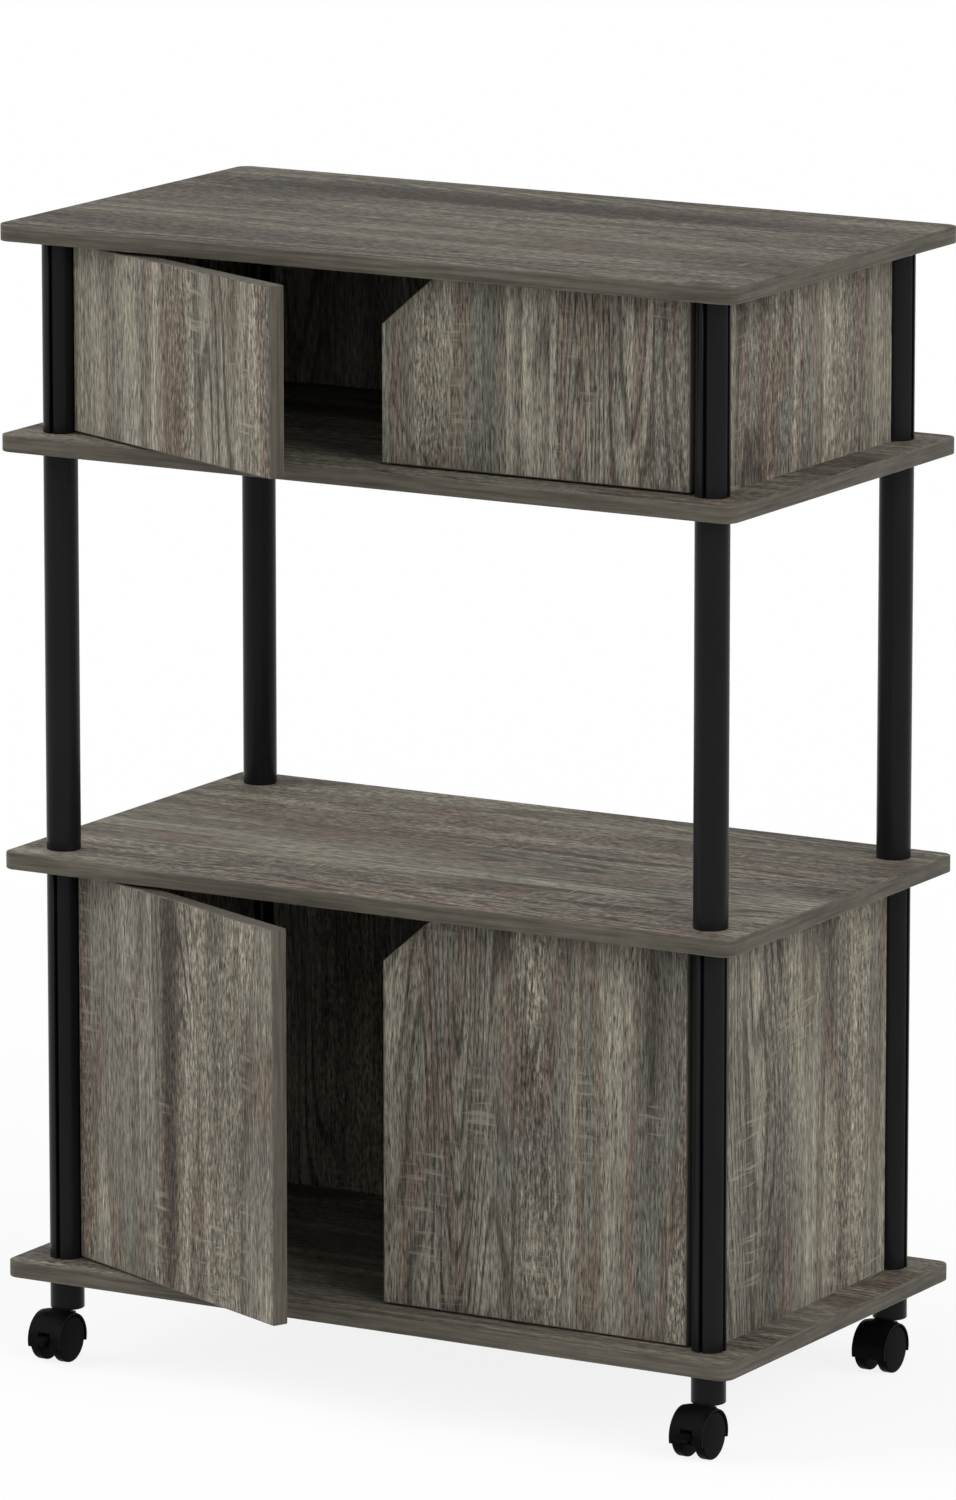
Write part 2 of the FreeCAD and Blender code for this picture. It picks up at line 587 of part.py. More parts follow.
doc.addObject("App::FeaturePython", "Scratch")
make_shelf("shelf_bottom", BOTTOM_SHELF, None, pins_on_top=True)
make_shelf("shelf_middle", MIDDLE_SHELF, None, pins_on_top=False)
make_shelf("shelf_upper", UPPER_SHELF, None, pins_on_top=True)
make_shelf("shelf_top", TOP_SHELF, "Sizes.TopDowelDepth", pins_on_top=False)
feet = [make_tube("Foot", corner, FOOT_BASE, "Sizes.FootLength", slotted=False) for corner in CORNERS]
make_group("foot_tubes", feet)
make_group("caster_sockets", [make_socket(corner) for corner in CORNERS])
for corner in CORNERS:
    tubes = [
        ("lower_tube", LOWER_TUBE, "Sizes.LowerTubeLength", True),
        ("bay_tube", BAY_TUBE, "Sizes.BayTubeLength", False),
        ("upper_tube", UPPER_TUBE, "Sizes.UpperTubeLength", True),
    ]
    for name, base, length, slotted in tubes:
        label = f"{name}_{corner}"
        keep(make_tube(label, corner, base, length, slotted), label)
    make_caster(corner)
make_dowels()
make_cabinet("lower", LOWER_TUBE, "Sizes.LowerTubeLength")
make_cabinet("upper", UPPER_TUBE, "Sizes.UpperTubeLength")
write_parts()
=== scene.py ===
"""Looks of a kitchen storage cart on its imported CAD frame: laminate boards, black tubes and casters."""
import json
import math

import bmesh
import bpy
import numpy as np
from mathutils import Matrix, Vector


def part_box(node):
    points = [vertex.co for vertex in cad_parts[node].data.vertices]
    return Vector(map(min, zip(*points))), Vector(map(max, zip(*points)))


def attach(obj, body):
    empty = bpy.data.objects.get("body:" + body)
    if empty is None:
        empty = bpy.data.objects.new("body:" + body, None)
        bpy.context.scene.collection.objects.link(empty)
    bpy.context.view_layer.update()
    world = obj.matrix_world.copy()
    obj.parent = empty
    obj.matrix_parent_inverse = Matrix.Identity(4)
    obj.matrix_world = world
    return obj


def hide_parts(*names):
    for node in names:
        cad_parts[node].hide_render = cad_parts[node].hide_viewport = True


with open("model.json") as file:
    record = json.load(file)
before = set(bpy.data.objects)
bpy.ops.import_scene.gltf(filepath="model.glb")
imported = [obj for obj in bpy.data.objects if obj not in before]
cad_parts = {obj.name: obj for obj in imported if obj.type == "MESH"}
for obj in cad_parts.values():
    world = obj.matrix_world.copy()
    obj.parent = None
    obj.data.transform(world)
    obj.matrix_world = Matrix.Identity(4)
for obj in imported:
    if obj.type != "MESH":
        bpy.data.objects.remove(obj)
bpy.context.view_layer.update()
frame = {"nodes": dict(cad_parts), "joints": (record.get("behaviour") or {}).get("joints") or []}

bl_info = {
    "name": "Kitchen storage cart",
    "version": (1, 0, 0),
    "blender": (4, 5, 0),
    "location": "View3D > Sidebar > Cart",
    "description": "Dresses the packed cart with laminate boards, tubes, casters and a plain studio",
    "category": "Object",
}

# Words in the names of the CAD nodes
CORNERS = ("fl", "fr", "rl", "rr")
LEVELS = ("lower", "upper")
SIDES = ("left", "right")
PANELS = ("side_panel_left", "side_panel_right", "back_panel")

# How bright the print is on each board. The shelves' values also hold painted light: the middle shelf is
# made lighter against the shade under the upper shelf, and the top shelf darker as painted shade
SHELF_TONES_AND_PAINTED_LIGHT = {"bottom": 0.95, "middle": 1.22, "upper": 0.95, "top": 0.72}
DOOR_TONES = {"lower": 0.93, "upper": 1.0}
PANEL_TONES = {"lower": 1.02, "upper": 1.10}

# Where boards are cut from the endless print, in metres: first place, step per level, step per piece
SHELF_CUT = (11.0, 4.3, 0.0)
DOOR_CUT = (31.0, 5.9, 2.3)
PANEL_CUT = (61.0, 7.1, 2.7)

# Axis that the grain runs along
WIDTHWISE, UPRIGHT = 0, 2


class CartBoards(bpy.types.PropertyGroup):
    """Sizes and colours of the laminated boards."""

    shelf_corner: bpy.props.FloatProperty(
        name="Shelf corner radius", description="Rounded corners of the shelves",
        default=0.010, unit="LENGTH")
    edge_ease: bpy.props.FloatProperty(
        name="Edge rounding", description="Radius along the edges of shelves and doors",
        default=0.0009, unit="LENGTH", precision=4)
    finger_cut: bpy.props.FloatVectorProperty(
        name="Finger cut", description="Slanted corner of a right door, across and down",
        default=(0.043, 0.037), size=2, subtype="TRANSLATION", unit="LENGTH")
    pale_oak: bpy.props.FloatVectorProperty(
        name="Pale oak", description="Lightest streaks of the printed grain",
        default=(0.208, 0.191, 0.152), size=3, subtype="COLOR", min=0, max=1)
    grey_oak: bpy.props.FloatVectorProperty(
        name="Grey oak", description="Main tone of the printed grain",
        default=(0.150, 0.138, 0.110), size=3, subtype="COLOR", min=0, max=1)
    dark_oak: bpy.props.FloatVectorProperty(
        name="Dark oak", description="Dark streaks and growth rings",
        default=(0.052, 0.045, 0.036), size=3, subtype="COLOR", min=0, max=1)
    brown_oak: bpy.props.FloatVectorProperty(
        name="Brown oak", description="Warm streaks of the printed grain",
        default=(0.129, 0.106, 0.083), size=3, subtype="COLOR", min=0, max=1)
    slate_oak: bpy.props.FloatVectorProperty(
        name="Slate oak", description="Cool streaks of the printed grain",
        default=(0.124, 0.118, 0.099), size=3, subtype="COLOR", min=0, max=1)
    edge_band: bpy.props.FloatVectorProperty(
        name="Edge band", description="Plain band glued round the boards",
        default=(0.083, 0.075, 0.059), size=3, subtype="COLOR", min=0, max=1)


class CartTubes(bpy.types.PropertyGroup):
    """Sizes and colours of the tubes."""

    core: bpy.props.FloatProperty(
        name="Tube core", description="Side of the square core", default=0.011, unit="LENGTH")
    slot_width: bpy.props.FloatProperty(
        name="Slot width", description="Lengthwise slot of a cabinet tube", default=0.003, unit="LENGTH")
    slot_floor: bpy.props.FloatProperty(
        name="Slot floor", description="Floor of a slot, from the tube's axis", default=0.008, unit="LENGTH")
    end_ease: bpy.props.FloatProperty(
        name="End rounding", description="Chamfer at the tube's ends",
        default=0.0004, unit="LENGTH", precision=4)
    black: bpy.props.FloatVectorProperty(
        name="Tube black", description="Satin black of the tubes",
        default=(0.0060, 0.0060, 0.0062), size=3, subtype="COLOR", min=0, max=1)


class CartCasters(bpy.types.PropertyGroup):
    """Sizes and colours of the casters, and of the steel in them and in the doors."""

    outer_ease: bpy.props.FloatProperty(
        name="Outer rounding", description="Rounded outer edge of the tread",
        default=0.0014, unit="LENGTH", precision=4)
    inner_ease: bpy.props.FloatProperty(
        name="Inner rounding", description="Rounded inner edge of the tread",
        default=0.0010, unit="LENGTH", precision=4)
    dome: bpy.props.FloatProperty(
        name="Wheel dome", description="How far the outer face swells at its middle",
        default=0.0005, unit="LENGTH", precision=4)
    axle_hole: bpy.props.FloatVectorProperty(
        name="Axle hole", description="Radius and depth of the blind hole for the axle",
        default=(0.0026, 0.0062), size=2, subtype="TRANSLATION", unit="LENGTH")
    crown: bpy.props.FloatVectorProperty(
        name="Hood crown",
        description="Swell of the hood's top, radius that clears the tube, and depth in the wall",
        default=(0.0014, 0.0129, 0.0006), size=3, unit="LENGTH", precision=4)
    black: bpy.props.FloatVectorProperty(
        name="Caster black", description="Moulded black of hoods and levers",
        default=(0.0036, 0.0036, 0.0036), size=3, subtype="COLOR", min=0, max=1)
    tread: bpy.props.FloatVectorProperty(
        name="Wheel black", description="Black of the wheels",
        default=(0.0036, 0.0036, 0.0036), size=3, subtype="COLOR", min=0, max=1)
    pins: bpy.props.FloatVectorProperty(
        name="Pin steel", description="Blackened steel of door pins and caster stems",
        default=(0.045, 0.044, 0.042), size=3, subtype="COLOR", min=0, max=1)
    steel: bpy.props.FloatVectorProperty(
        name="Axle steel", description="Bright steel of the axles",
        default=(0.56, 0.56, 0.57), size=3, subtype="COLOR", min=0, max=1)


class CartStage(bpy.types.PropertyGroup):
    """Camera, lamps and floor."""

    camera_place: bpy.props.FloatVectorProperty(
        name="Camera", description="Where the camera stands",
        default=(3.6045, -6.2332, 1.9130), size=3, subtype="TRANSLATION", unit="LENGTH")
    camera_turn: bpy.props.FloatProperty(
        name="Turn", description="Camera's turn to the left of the cart's front",
        default=math.radians(30.039), unit="ROTATION")
    camera_pitch: bpy.props.FloatProperty(
        name="Pitch", description="Camera's tilt below the horizon",
        default=math.radians(11.449), unit="ROTATION")
    lens: bpy.props.FloatProperty(
        name="Lens", description="Focal length in millimetres for a 36 mm long side",
        default=244.5, unit="CAMERA")
    sky: bpy.props.FloatProperty(
        name="Room light", description="Even light from all sides",
        default=0.24, subtype="FACTOR", min=0, max=1)
    key: bpy.props.FloatProperty(
        name="Key light", description="Soft lamp from the right", default=1.95)
    fill: bpy.props.FloatProperty(
        name="Fill light", description="Soft lamp from the left", default=2.05)
    front: bpy.props.FloatProperty(
        name="Front light", description="Weak low lamp that reaches into the cabinets", default=0.75)
    floor_glow: bpy.props.FloatProperty(
        name="Floor white", description="How much of the floor's look is plain white",
        default=0.8, subtype="FACTOR", min=0, max=1)


def scaled(values, share):
    """Every part of a colour or a place, times a share."""
    return tuple(share * part for part in values)


def add_node(tree, kind, settings=None, **inputs):
    """A shader node with its settings and the values of its named inputs."""
    node = tree.nodes.new(kind)
    for name, value in (settings or {}).items():
        setattr(node, name, value)
    for name, value in inputs.items():
        node.inputs[name].default_value = value
    return node


def new_material(name):
    """A material with one principled shader. Returns the material, its tree and the shader."""
    material = bpy.data.materials.new(name)
    material.use_nodes = True
    tree = material.node_tree
    shader = next(node for node in tree.nodes if node.type == "BSDF_PRINCIPLED")
    return material, tree, shader


def stretched_noise(tree, source, scale, detail, roughness, output="Fac"):
    """Noise on a position, with its own number of cells per metre along each axis."""
    mapping = add_node(tree, "ShaderNodeMapping", Scale=scale)
    tree.links.new(source, mapping.inputs["Vector"])
    noise = add_node(tree, "ShaderNodeTexNoise", Scale=1.0, Detail=detail, Roughness=roughness)
    tree.links.new(mapping.outputs["Vector"], noise.inputs["Vector"])
    return noise.outputs[output]


def ramp(tree, source, stops):
    """A colour ramp through (position, colour) stops; a plain number is a grey."""
    node = add_node(tree, "ShaderNodeValToRGB")
    elements = node.color_ramp.elements
    while len(elements) < len(stops):
        elements.new(0.5)
    for element, (position, colour) in zip(elements, stops):
        element.position = position
        element.color = (*colour, 1) if isinstance(colour, tuple) else (colour, colour, colour, 1)
    tree.links.new(source, node.inputs["Fac"])
    return node.outputs["Color"]


def tone_ramp(tree, source, colour, tones):
    """A ramp through one colour, made darker or lighter by (position, share) tones."""
    return ramp(tree, source, [(position, scaled(colour, share)) for position, share in tones])


def feed(tree, socket, value):
    """Links another node's socket to this one, or sets its value."""
    if isinstance(value, bpy.types.NodeSocket):
        tree.links.new(value, socket)
    else:
        socket.default_value = value


# Sockets of the Mix node when it mixes colours
MIX_FACTOR, MIX_FIRST, MIX_SECOND, MIX_RESULT = 0, 6, 7, 2


def mix(tree, factor, first, second, blend="MIX"):
    """Mixes two colours; a factor or colour may be a socket or a value."""
    node = add_node(tree, "ShaderNodeMix", {"data_type": "RGBA", "blend_type": blend})
    feed(tree, node.inputs[MIX_FACTOR], factor)
    feed(tree, node.inputs[MIX_FIRST], first)
    feed(tree, node.inputs[MIX_SECOND], second)
    return node.outputs[MIX_RESULT]


def maths(tree, operation, *values):
    """One sum on up to three numbers; each may be a socket or a value."""
    node = add_node(tree, "ShaderNodeMath", {"operation": operation})
    for socket, value in zip(node.inputs, values):
        feed(tree, socket, value)
    return node.outputs["Value"]


def add_bump(tree, shader, height, depth, strength=0.5):
    """Raises the shader's surface by a height from 0 to 1, times the depth in metres."""
    node = add_node(tree, "ShaderNodeBump", Strength=strength, Distance=depth)
    tree.links.new(height, node.inputs["Height"])
    tree.links.new(node.outputs["Normal"], shader.inputs["Normal"])


def cut_start(cut, level, piece=0):
    """Where a board is cut from the print: the first place of its kind plus steps for level and piece."""
    first, per_level, per_piece = cut
    return first + per_level * level + per_piece * piece


# Noises of the printed oak: cells per metre across and along the grain, detail, roughness
OAK_NOISES = {
    "bend": (7.0, 2.1, 2.0, 0.45),
    "bands": (14.0, 0.9, 2.0, 0.5),
    "rings": (17.0, 1.3, 1.0, 0.4),
    "ring_patches": (9.0, 1.7, 2.0, 0.5),
    "smoke": (11.0, 3.1, 3.0, 0.6),
    "planks": (6.5, 0.45, 1.0, 0.4),
    "flecks": (1250.0, 105.0, 2.0, 0.65),
    "fibres": (460.0, 10.0, 3.0, 0.7),
    "pebbles": (620.0, 190.0, 2.0, 0.6),
    "saw_marks": (30.0, 330.0, 2.0, 0.5),
    "saw_patches": (21.0, 10.0, 2.0, 0.5),
}

# Shades of the oak along the contours of the band noise
OAK_BANDS = (
    (0.26, "dark"), (0.31, "brown"), (0.34, "grey"), (0.40, "pale"), (0.435, "grey"), (0.448, "brown"),
    (0.468, "brown"), (0.485, "slate"), (0.52, "grey"), (0.57, "pale"), (0.60, "grey"), (0.61, "brown"),
    (0.63, "brown"), (0.65, "slate"), (0.74, "dark"),
)

# Strength of each layer of the oak along its noise
OAK_STEPS = {
    "ring_lines": ((0.35, 0), (0.95, 1)),
    "ring_patches": ((0.49, 0), (0.58, 0.85)),
    "smoke": ((0.53, 0), (0.72, 0.8)),
    "zones": ((0.455, 0), (0.465, 1), (0.55, 1), (0.62, 0)),
    "seams": ((0.430, 0), (0.452, 0.30), (0.4565, 0.70), (0.459, 0)),
    "saw_marks": ((0.57, 0), (0.68, 1)),
    "saw_patches": ((0.53, 0), (0.68, 0.8)),
    "roughness": ((0.3, 0.78), (0.7, 0.62)),
}

# Brightness from the fine noises of the oak: factor and shift
OAK_GAINS = {"flecks": (4.3, -1.06), "fibres": (1.9, 0.08), "pebbles": (3.0, -1.44)}

CUT_SLANT = (1, 0.37, 0.61)  # how far a board's start moves its cut along each axis
GRAIN_BEND = 0.030  # how far the slow noise bends the grain, in metres
RING_PHASE = 170.0  # radians of the ring lines' sine per unit of their noise
ZONE_TINT = (0.86, 0.84, 0.84, 1)  # tint of the pebbled zones
CHALK = 1.25  # brightness of saw marks against pale oak
FLECK_DEPTH = 0.00010  # bump of the flecks, in metres
LAMINATE_GLOSS = 0.12  # specular level of the printed boards and bands


def oak_laminate(name, boards, grain, start, tone):
    """Printed grey oak. A slow noise bends the position. On it, one noise stretched along the grain is read
    through many colour stops, so that its contours become bands and loops, and thin ring lines are a sine of
    a finer stretched noise. Smoke, pebbled zones with dark seams, fibres, short flecks and chalky saw marks
    lie over that. The start gives each board its own cut of the print."""
    material, tree, shader = new_material(name)
    place = add_node(tree, "ShaderNodeTexCoord")
    shifted = add_node(tree, "ShaderNodeMapping", Location=scaled(CUT_SLANT, start))
    tree.links.new(place.outputs["Object"], shifted.inputs["Vector"])
    straight = shifted.outputs["Vector"]

    def noise(source, layer, output="Fac"):
        across, along, detail, roughness = OAK_NOISES[layer]
        scale = [across, across, across]
        scale[grain] = along
        return stretched_noise(tree, source, scale, detail, roughness, output)

    def steps(source, layer):
        return ramp(tree, source, OAK_STEPS[layer])

    def gain(source, layer):
        return maths(tree, "MULTIPLY_ADD", source, *OAK_GAINS[layer])

    bend = add_node(tree, "ShaderNodeVectorMath", {"operation": "MULTIPLY_ADD"})
    bend.inputs[1].default_value = (GRAIN_BEND, GRAIN_BEND, GRAIN_BEND)
    tree.links.new(noise(straight, "bend", "Color"), bend.inputs[0])
    tree.links.new(straight, bend.inputs[2])
    bent = bend.outputs["Vector"]

    # The tone scales every shade; on the middle and top shelves it is painted light and painted shade
    oaks = {
        "pale": scaled(boards.pale_oak, tone),
        "grey": scaled(boards.grey_oak, tone),
        "slate": scaled(boards.slate_oak, tone),
        "brown": scaled(boards.brown_oak, tone),
        "dark": scaled(boards.dark_oak, tone),
    }
    dark = (*oaks["dark"], 1)
    chalk = (*scaled(oaks["pale"], CHALK), 1)
    colour = ramp(tree, noise(bent, "bands"), [(stop, oaks[shade]) for stop, shade in OAK_BANDS])
    rings = maths(tree, "SINE", maths(tree, "MULTIPLY", noise(bent, "rings"), RING_PHASE))
    ring_patches = steps(noise(bent, "ring_patches"), "ring_patches")
    ring_lines = maths(tree, "MULTIPLY", steps(rings, "ring_lines"), ring_patches)
    colour = mix(tree, ring_lines, colour, dark)
    colour = mix(tree, steps(noise(bent, "smoke"), "smoke"), colour, dark)
    planks = noise(bent, "planks")
    zones = steps(planks, "zones")
    colour = mix(tree, zones, colour, ZONE_TINT, "MULTIPLY")
    colour = mix(tree, steps(planks, "seams"), colour, dark)
    flecks = noise(bent, "flecks")
    fibres = noise(straight, "fibres")
    pebbles = noise(straight, "pebbles")
    fleck_gain = gain(flecks, "flecks")
    fibre_gain = gain(fibres, "fibres")
    pebble_gain = maths(tree, "MULTIPLY_ADD", gain(pebbles, "pebbles"), zones, 1.0)
    fine_gain = maths(tree, "MULTIPLY", maths(tree, "MULTIPLY", fleck_gain, fibre_gain), pebble_gain)
    colour = mix(tree, 1.0, colour, fine_gain, "MULTIPLY")
    saw_marks = steps(noise(bent, "saw_marks"), "saw_marks")
    saw_patches = steps(noise(bent, "saw_patches"), "saw_patches")
    colour = mix(tree, maths(tree, "MULTIPLY", saw_marks, saw_patches), colour, chalk)
    tree.links.new(colour, shader.inputs["Base Color"])
    tree.links.new(steps(flecks, "roughness"), shader.inputs["Roughness"])
    shader.inputs["Specular IOR Level"].default_value = LAMINATE_GLOSS
    add_bump(tree, shader, flecks, FLECK_DEPTH)
    return material


# Noises of the edge bands: cells per metre across and along the band, detail, roughness
BAND_NOISES = {
    "streaks": (420, 14, 3.0, 0.6),
    "mottle": (160, 45, 3.0, 0.6),
    "rubbing": (70, 70, 4.0, 0.65),
}

# Tone along the streaks, tone and roughness along the mottle, and where rubbing starts and is full
BAND_TONES = ((0.32, 0.68), (0.5, 1), (0.70, 1.36))
MOTTLE_TONES = ((0.3, 0.86), (0.7, 1.12))
MOTTLE_ROUGHNESS = ((0.3, 0.58), (0.7, 0.48))
RUB_START, RUB_FULL = 0.42, 0.62
RUB_ROUGHNESS = ((RUB_START, 0.55), (RUB_FULL, 0.40))

EDGE_WEAR = 0.6  # how far the roundings are rubbed
BAND_DEPTH = 0.00005  # bump of the streaks, in metres


def edge_banding(name, boards, upright=False, wear=0.0):
    """Plain printed band: faint streaks along the edge over one tone, with a little mottling. Where it is
    worn, paler and smoother patches of rubbed print lie over that."""
    material, tree, shader = new_material(name)
    place = add_node(tree, "ShaderNodeTexCoord")

    def noise(layer):
        across, along, detail, roughness = BAND_NOISES[layer]
        scale = (across, across, along) if upright else (along, along, across)
        return stretched_noise(tree, place.outputs["Object"], scale, detail, roughness)

    streaks = noise("streaks")
    colour = tone_ramp(tree, streaks, boards.edge_band, BAND_TONES)
    mottle = noise("mottle")
    colour = mix(tree, 1.0, colour, ramp(tree, mottle, MOTTLE_TONES), "MULTIPLY")
    rough = ramp(tree, mottle, MOTTLE_ROUGHNESS)
    if wear:
        rubbing = noise("rubbing")
        patches = ramp(tree, rubbing, [(RUB_START, 0), (RUB_FULL, wear)])
        colour = mix(tree, patches, colour, (*boards.grey_oak, 1))
        rough = ramp(tree, rubbing, RUB_ROUGHNESS)
    tree.links.new(colour, shader.inputs["Base Color"])
    tree.links.new(rough, shader.inputs["Roughness"])
    shader.inputs["Specular IOR Level"].default_value = LAMINATE_GLOSS
    add_bump(tree, shader, streaks, BAND_DEPTH, strength=0.4)
    return material


# Cloudy wear of the plastics: cells per metre across and along a drawn piece, tone and change of roughness
CLOUD_ACROSS, CLOUD_ALONG = 38, 9
CLOUD_TONES = ((0.35, 1), (0.75, 1.35))
CLOUD_ROUGHNESS = ((0.3, -0.05), (0.7, 0.06))

DRAWN_STRETCH = 0.012  # cells along a drawn line for one across it
DOWEL_GREY = (0.06, 0.06, 0.06)


def satin_plastic(name, colour, rough, gloss, grain_size, grain_depth, drawn=False):
    """Black plastic with fine moulded grain, or with faint lengthwise lines where it was drawn through a
    die. Cloudy wear makes it a little paler and duller in places."""
    material, tree, shader = new_material(name)
    place = add_node(tree, "ShaderNodeTexCoord")
    cells = 1 / grain_size
    scale = (cells, cells, cells * DRAWN_STRETCH if drawn else cells)
    grain = stretched_noise(tree, place.outputs["Object"], scale, detail=2.0, roughness=0.55)
    scale = (CLOUD_ACROSS, CLOUD_ACROSS, CLOUD_ALONG if drawn else CLOUD_ACROSS)
    cloud = stretched_noise(tree, place.outputs["Object"], scale, detail=3.0, roughness=0.6)
    tree.links.new(tone_ramp(tree, cloud, colour, CLOUD_TONES), shader.inputs["Base Color"])
    roughness = [(position, rough + change) for position, change in CLOUD_ROUGHNESS]
    tree.links.new(ramp(tree, cloud, roughness), shader.inputs["Roughness"])
    shader.inputs["Specular IOR Level"].default_value = gloss
    add_bump(tree, shader, grain, grain_depth)
    return material


# Turned steel: cells per metre of its rings, tone and roughness along them, and their bump in metres
STEEL_RINGS = (60, 60, 2400)
STEEL_TONES = ((0.3, 0.8), (0.7, 1))
STEEL_ROUGHNESS = ((0.3, 0.42), (0.7, 0.28))
STEEL_DEPTH = 0.00002


def turned_steel(name, colour):
    """Turned steel: fine rings across the upright axis in tone, roughness and bump."""
    material, tree, shader = new_material(name)
    place = add_node(tree, "ShaderNodeTexCoord")
    rings = stretched_noise(tree, place.outputs["Object"], STEEL_RINGS, detail=2.0, roughness=0.6)
    tree.links.new(tone_ramp(tree, rings, colour, STEEL_TONES), shader.inputs["Base Color"])
    tree.links.new(ramp(tree, rings, STEEL_ROUGHNESS), shader.inputs["Roughness"])
    shader.inputs["Metallic"].default_value = 1.0
    add_bump(tree, shader, rings, STEEL_DEPTH)
    return material


# Points along each rounding, round each tube and wheel, and over a crown
SHELF_CORNER_STEPS, DOOR_CORNER_STEPS, EASE_STEPS = 14, 5, 4
TUBE_COLUMNS, SLOTTED_ARC_STEPS = 112, 26
WHEEL_COLUMNS, FACE_STEPS, BROW_STEPS, HEEL_STEPS = 96, 10, 9, 6
CROWN_ROWS, CROWN_COLUMNS = 49, 33

DOOR_CORNER = 0.0008  # radius of the doors' corners, in metres
SLOT_LIP = 0.00035  # bevel along the brink of a tube's slot, in metres
DOUBLED = 1e-7  # points nearer than this, in metres, are one
SHARP_TURN = math.radians(38)  # edges that turn more than this are sharp


def rectangle(low, high):
    """Corners of a rectangle between its lowest and its highest one, anticlockwise."""
    (left, bottom), (right, top) = low, high
    return [(left, bottom), (right, bottom), (right, top), (left, top)]


def eased_corners(points, radius, steps):
    """Rounds every corner of a closed outline: each corner becomes an arc of the given radius that touches
    both sides, swept from one side's normal to the next. Returns the points and the arcs' outward unit
    normals."""
    points = np.asarray(points, float)
    arrive = points - np.roll(points, 1, axis=0)
    arrive /= np.linalg.norm(arrive, axis=1, keepdims=True)
    leave = np.roll(arrive, -1, axis=0)
    turn = np.arctan2(arrive[:, 0] * leave[:, 1] - arrive[:, 1] * leave[:, 0], (arrive * leave).sum(1))
    inward = np.stack([-arrive[:, 1], arrive[:, 0]], 1)
    centre = points - arrive * (radius * np.tan(turn / 2))[:, None] + inward * radius
    start = np.arctan2(-inward[:, 1], -inward[:, 0])
    angle = start[:, None] + turn[:, None] * np.linspace(0, 1, steps)[None, :]
    normals = np.stack([np.cos(angle), np.sin(angle)], 2)
    return (centre[:, None, :] + radius * normals).reshape(-1, 2), normals.reshape(-1, 2)


def grid_faces(rows, columns, close_rows=False):
    """Four-sided faces of a grid whose columns wrap round; its rows wrap too where asked."""
    row = np.arange(rows if close_rows else rows - 1)[:, None]
    column = np.arange(columns)[None, :]
    after = (row + 1) % rows
    beside = (column + 1) % columns
    corners = [row * columns + column, row * columns + beside,
               after * columns + beside, after * columns + column]
    return np.stack(np.broadcast_arrays(*corners), 2).reshape(-1, 4)


def board_surface(points, normals, low, high, ease):
    """A board: its outline runs up the thickness, drawn in along its normals by a quarter circle at both
    faces. Returns the vertices (outline, outline, height), the faces and each face's shade: 0 on the two
    faces, 1 on the flat band between them and 2 on the roundings."""
    sweep = np.linspace(0, math.pi / 2, EASE_STEPS)
    inset = ease * (1 - np.sin(sweep))
    rise = ease * (1 - np.cos(sweep))
    insets = np.concatenate([inset, inset[::-1]])
    heights = np.concatenate([low + rise, high - rise[::-1]])
    rings = points[None] - normals[None] * insets[:, None, None]
    lift = np.broadcast_to(heights[:, None, None], (len(heights), len(points), 1))
    vertices = np.concatenate([rings, lift], 2).reshape(-1, 3)
    strips = grid_faces(len(heights), len(points))
    under = np.arange(len(points))[::-1]
    over = np.arange(len(points)) + (len(heights) - 1) * len(points)
    rounding = np.arange(len(strips)) // len(points) != EASE_STEPS - 1
    shades = np.concatenate([1 + rounding, [0, 0]])
    return vertices, [*strips.tolist(), under.tolist(), over.tolist()], shades


def turned_surface(profile, columns):
    """A solid of revolution round the x axis: each profile point (x, radius) makes one ring."""
    angle = np.linspace(0, 2 * math.pi, columns, endpoint=False)
    x = np.broadcast_to(profile[:, :1], (len(profile), columns))
    y = -profile[:, 1:] * np.sin(angle)[None]
    z = profile[:, 1:] * np.cos(angle)[None]
    return np.stack([x, y, z], 2).reshape(-1, 3), grid_faces(len(profile), columns)


def round_section(radius):
    """Section of a plain tube: a circle."""
    angle = np.linspace(0, 2 * math.pi, TUBE_COLUMNS, endpoint=False)
    return radius * np.stack([np.cos(angle), np.sin(angle)], 1)


def slotted_section(radius, width, floor):
    """Section of a cabinet tube: one quarter runs from a slot's floor up its wall, over a small lip, round
    the outer arc and down the next slot's wall; four turned copies close it."""
    half = width / 2
    brink = math.asin((half + SLOT_LIP) / radius)
    arc = np.linspace(brink, math.pi / 2 - brink, SLOTTED_ARC_STEPS)
    outer = radius * np.stack([np.cos(arc), np.sin(arc)], 1)
    wall = np.array([[floor, half], [radius * math.cos(brink) - SLOT_LIP, half]])
    quarter = np.concatenate([wall, outer, wall[::-1, ::-1]])
    turns = np.arange(4) * math.pi / 2
    cosine, sine = np.cos(turns), np.sin(turns)
    spin = np.stack([np.stack([cosine, -sine], 1), np.stack([sine, cosine], 1)], 1)
    return np.einsum("tij,pj->tpi", spin, quarter).reshape(-1, 2)


def tube_surface(outer, core, base, top, ease):
    """A tube: the outer section runs up with a chamfer at each end, the square core runs back down inside
    it. A core point lies on the square at its outer point's bearing."""
    bearing = np.arctan2(outer[:, 1], outer[:, 0])
    reach = core / 2 / np.maximum(np.abs(np.cos(bearing)), np.abs(np.sin(bearing)))
    inner = reach[:, None] * np.stack([np.cos(bearing), np.sin(bearing)], 1)
    shrink = 1 - ease / np.abs(outer).max()
    rows = [(outer * shrink, base), (outer, base + ease), (outer, top - ease), (outer * shrink, top),
            (inner, top), (inner, base)]
    rings = [np.column_stack([ring, np.full(len(ring), height)]) for ring, height in rows]
    return np.concatenate(rings), grid_faces(len(rows), len(outer), close_rows=True)


